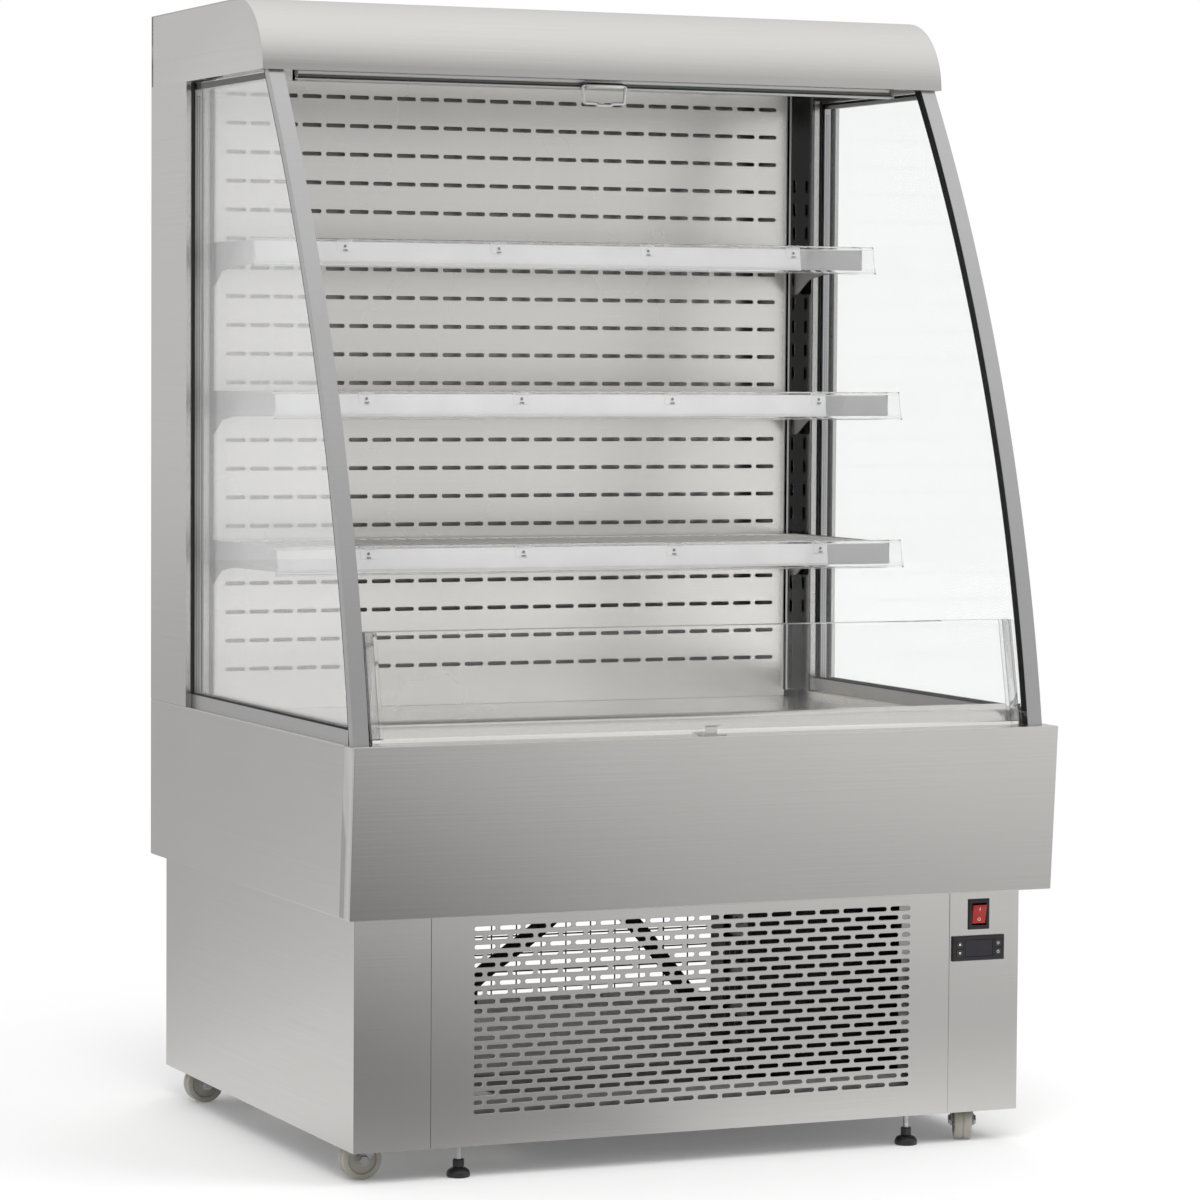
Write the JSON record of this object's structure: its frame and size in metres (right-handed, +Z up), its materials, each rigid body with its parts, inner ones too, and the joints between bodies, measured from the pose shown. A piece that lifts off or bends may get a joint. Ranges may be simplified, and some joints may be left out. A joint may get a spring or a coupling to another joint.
{
  "type": "open multideck display fridge",
  "caption": "Open-fronted upright display fridge with curved double side glass, wire shelves, roller night blind, slotted base grille, swivel casters and levelling feet.",
  "frame": {"origin": "floor level, midway across the width and depth of the cabinet", "axes": "+Z up, -Y out of the open front, +X to the right as seen from the front"},
  "size_m": [0.95, 0.79, 1.45],
  "materials": {
    "stainless": "satin brushed",
    "galvanised": "dull zinc",
    "coated_wire": "light grey coating",
    "black_wire": "black powder coat",
    "tub_liner": "moulded liner",
    "aluminium": "satin anodised",
    "fin_aluminium": "plain fins",
    "clear_glass": "clear toughened",
    "clear_plastic": "clear extruded",
    "black_plastic": "fine satin",
    "key_plastic": "semi gloss",
    "red_lens": "translucent red",
    "black_enamel": "black enamel",
    "foam_rubber": "closed-cell foam sleeve",
    "blind_cloth": "coated blind cloth",
    "handle_steel": "bright drawn steel",
    "nylon": "grey nylon",
    "foot_plastic": "black moulded pad"
  },
  "bodies": {
    "cabinet": {"base_side_left": "stainless", "base_side_right": "stainless", "front_grille": "stainless", "front_fascia": "stainless", "band_side_left": "stainless", "band_side_right": "stainless", "deck_pan": "stainless", "front_sill": "stainless", "rear_wall": "stainless", "air_panel": "stainless", "shelf_uprights": "stainless", "canopy_shell": "stainless", "canopy_soffit": "stainless", "sill_catch": "stainless", "base_tray": "galvanised", "shelf_brackets": "galvanised", "shelf_top": "coated_wire", "shelf_middle": "coated_wire", "shelf_bottom": "coated_wire", "rear_guard": "black_wire", "insulated_tub": "tub_liner", "glass_trim_left": "aluminium", "glass_trim_right": "aluminium", "glass_channels": "aluminium", "glass_spacers": "aluminium", "evaporator_coil": "fin_aluminium", "condenser_coil": "fin_aluminium", "side_glass_left": "clear_glass", "side_glass_right": "clear_glass", "front_glass": "clear_glass", "price_strip_top": "clear_plastic", "price_strip_middle": "clear_plastic", "price_strip_bottom": "clear_plastic", "switch_bezel": "black_plastic", "controller_case": "black_plastic", "drip_tray": "black_plastic", "cable_gland": "black_plastic", "compressor": "black_enamel", "suction_pipe": "foam_rubber", "blind_fabric": "blind_cloth"},
    "blind_roller": {"blind_roller": "blind_cloth"},
    "blind_pull_bar": {"blind_pull_bar": "aluminium"},
    "blind_handle": {"blind_handle": "handle_steel"},
    "evaporator_fan": {"evaporator_fan": "black_plastic"},
    "condenser_fan": {"condenser_fan": "black_plastic"},
    "switch_rocker": {"switch_rocker": "red_lens"},
    "key_up": {"key_up": "key_plastic"},
    "key_down": {"key_down": "key_plastic"},
    "key_set": {"key_set": "key_plastic"},
    "key_power": {"key_power": "key_plastic"},
    "levelling_foot_left": {"levelling_foot_left": "foot_plastic"},
    "levelling_foot_right": {"levelling_foot_right": "foot_plastic"},
    "caster_fork_front_left": {"caster_fork_front_left": "galvanised"},
    "caster_fork_front_right": {"caster_fork_front_right": "galvanised"},
    "caster_fork_rear_left": {"caster_fork_rear_left": "galvanised"},
    "caster_fork_rear_right": {"caster_fork_rear_right": "galvanised"},
    "caster_wheel_front_left": {"caster_wheel_front_left": "nylon"},
    "caster_wheel_front_right": {"caster_wheel_front_right": "nylon"},
    "caster_wheel_rear_left": {"caster_wheel_rear_left": "nylon"},
    "caster_wheel_rear_right": {"caster_wheel_rear_right": "nylon"}
  },
  "joints": [
    {"name": "caster_swivel_front_left", "type": "hinge", "parent": "cabinet", "child": "caster_fork_front_left", "pos_m": [-0.402, -0.28, 0.06], "axis": [0, 0, 1], "continuous": true},
    {"name": "wheel_spin_front_left", "type": "hinge", "parent": "caster_fork_front_left", "child": "caster_wheel_front_left", "pos_m": [-0.424, -0.28, 0.025], "axis": [0, 1, 0], "continuous": true},
    {"name": "caster_swivel_front_right", "type": "hinge", "parent": "cabinet", "child": "caster_fork_front_right", "pos_m": [0.402, -0.28, 0.06], "axis": [0, 0, 1], "continuous": true},
    {"name": "wheel_spin_front_right", "type": "hinge", "parent": "caster_fork_front_right", "child": "caster_wheel_front_right", "pos_m": [0.39326, -0.30019, 0.025], "axis": [-0.9178, 0.3971, 0], "continuous": true},
    {"name": "caster_swivel_rear_left", "type": "hinge", "parent": "cabinet", "child": "caster_fork_rear_left", "pos_m": [-0.402, 0.322, 0.06], "axis": [0, 0, 1], "continuous": true},
    {"name": "wheel_spin_rear_left", "type": "hinge", "parent": "caster_fork_rear_left", "child": "caster_wheel_rear_left", "pos_m": [-0.424, 0.322, 0.025], "axis": [0, 1, 0], "continuous": true},
    {"name": "caster_swivel_rear_right", "type": "hinge", "parent": "cabinet", "child": "caster_fork_rear_right", "pos_m": [0.402, 0.322, 0.06], "axis": [0, 0, 1], "continuous": true},
    {"name": "wheel_spin_rear_right", "type": "hinge", "parent": "caster_fork_rear_right", "child": "caster_wheel_rear_right", "pos_m": [0.38, 0.322, 0.025], "axis": [0, 1, 0], "continuous": true},
    {"name": "foot_adjust_left", "type": "slide", "parent": "cabinet", "child": "levelling_foot_left", "axis": [0, 0, 1], "range_m": [-0.01, 0.02]},
    {"name": "foot_adjust_right", "type": "slide", "parent": "cabinet", "child": "levelling_foot_right", "axis": [0, 0, 1], "range_m": [-0.01, 0.02]},
    {"name": "switch_rock", "type": "hinge", "parent": "cabinet", "child": "switch_rocker", "pos_m": [0.3949, -0.336, 0.2946], "axis": [1, 0, 0], "range_deg": [-16, 0]},
    {"name": "key_press_up", "type": "slide", "parent": "cabinet", "child": "key_up", "axis": [0, 1, 0], "range_m": [0, 0.0006], "stiffness_N_per_m": 800, "springref_m": -0.0005},
    {"name": "key_press_down", "type": "slide", "parent": "cabinet", "child": "key_down", "axis": [0, 1, 0], "range_m": [0, 0.0006], "stiffness_N_per_m": 800, "springref_m": -0.0005},
    {"name": "key_press_set", "type": "slide", "parent": "cabinet", "child": "key_set", "axis": [0, 1, 0], "range_m": [0, 0.0006], "stiffness_N_per_m": 800, "springref_m": -0.0005},
    {"name": "key_press_power", "type": "slide", "parent": "cabinet", "child": "key_power", "axis": [0, 1, 0], "range_m": [0, 0.0006], "stiffness_N_per_m": 800, "springref_m": -0.0005},
    {"name": "blind_pull", "type": "slide", "parent": "cabinet", "child": "blind_pull_bar", "axis": [0, -0.4216, -0.9068], "range_m": [0, 0.845], "stiffness_N_per_m": 10, "springref_m": -1, "deforming": ["blind_fabric"]},
    {"name": "blind_roll", "type": "hinge", "parent": "cabinet", "child": "blind_roller", "pos_m": [0, 0.015, 1.398], "axis": [1, 0, 0], "range_deg": [0, 2425]},
    {"name": "handle_swing", "type": "hinge", "parent": "blind_pull_bar", "child": "blind_handle", "pos_m": [0, -0.029, 1.35], "axis": [1, 0, 0], "range_deg": [-80, 4]},
    {"name": "evaporator_fan_spin", "type": "hinge", "parent": "cabinet", "child": "evaporator_fan", "pos_m": [0, -0.118, 0.452], "axis": [0, 1, 0], "continuous": true},
    {"name": "condenser_fan_spin", "type": "hinge", "parent": "cabinet", "child": "condenser_fan", "pos_m": [0.215, -0.177, 0.18675], "axis": [0, 1, 0], "continuous": true}
  ],
  "couplings": [
    {"joint": "blind_roll", "follows": "blind_pull", "rad_per_m": 50}
  ]
}
